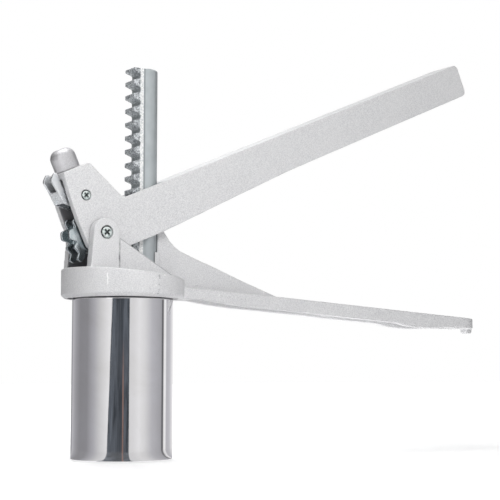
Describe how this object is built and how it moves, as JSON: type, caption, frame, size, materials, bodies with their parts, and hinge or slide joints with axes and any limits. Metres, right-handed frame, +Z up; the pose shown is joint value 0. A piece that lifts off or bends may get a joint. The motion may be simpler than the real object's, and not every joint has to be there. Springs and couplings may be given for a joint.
{
  "type": "noodle press",
  "caption": "Hand-held noodle press: a lever with a sprung pawl drives a toothed rack and round piston down a steel barrel, through a drilled die plate.",
  "frame": {"origin": "centre of the barrel's open mouth, on the barrel's axis", "axes": "+Z runs up the barrel towards the rack's top, +X runs along the two handles towards their ends, +Y completes the right-handed frame"},
  "size_m": [0.3349, 0.076, 0.2753],
  "materials": {
    "silver_casting": "satin silver paint over cast aluminium",
    "knob_metal": "satin cast aluminium",
    "polished_steel": "mirror polished stainless steel",
    "rack_steel": "bright zinc plate",
    "pawl_steel": "bright zinc plate on pressed sheet",
    "spring_wire": "bright drawn wire",
    "pin_steel": "plain turned steel",
    "screw_steel": "zinc plated"
  },
  "bodies": {
    "body": {"body_casting": "silver_casting", "main_pin": "pin_steel", "main_pin_screws": "screw_steel", "hold_spring": "spring_wire"},
    "lever": {"lever_casting": "silver_casting", "thumb_knob": "knob_metal", "knob_screw": "screw_steel", "pawl_pin": "pin_steel", "pawl_pin_screws": "screw_steel", "drive_spring": "spring_wire"},
    "upper_pawl": {"drive_pawl": "pawl_steel"},
    "lower_pawl": {"hold_pawl": "pawl_steel"},
    "rack": {"rack_rod": "rack_steel", "piston_hub": "silver_casting", "piston_plate": "polished_steel", "piston_washer": "screw_steel", "piston_screw": "screw_steel"},
    "barrel": {"barrel_tube": "polished_steel", "barrel_lugs": "polished_steel", "die_plate": "polished_steel"}
  },
  "joints": [
    {"name": "lever_swing", "type": "hinge", "parent": "body", "child": "lever", "pos_m": [-0.021, 0, 0.1367], "axis": [0, 1, 0], "range_deg": [0, 26]},
    {"name": "drive_pawl_swing", "type": "hinge", "parent": "lever", "child": "upper_pawl", "pos_m": [-0.0316, 0, 0.1591], "axis": [0, 1, 0], "range_deg": [-6.5, 3], "stiffness_Nm_per_rad": 0.05, "springref_deg": -2.86},
    {"name": "hold_pawl_swing", "type": "hinge", "parent": "body", "child": "lower_pawl", "pos_m": [-0.021, 0, 0.1367], "axis": [0, 1, 0], "range_deg": [-4.8, 3], "stiffness_Nm_per_rad": 0.05, "springref_deg": -2.86},
    {"name": "rack_slide", "type": "slide", "parent": "body", "child": "rack", "axis": [0, 0, -1], "range_m": [0, 0.086]},
    {"name": "barrel_twist", "type": "hinge", "parent": "body", "child": "barrel", "pos_m": [0, 0, 0], "axis": [0, 0, 1], "range_deg": [0, 38]}
  ]
}
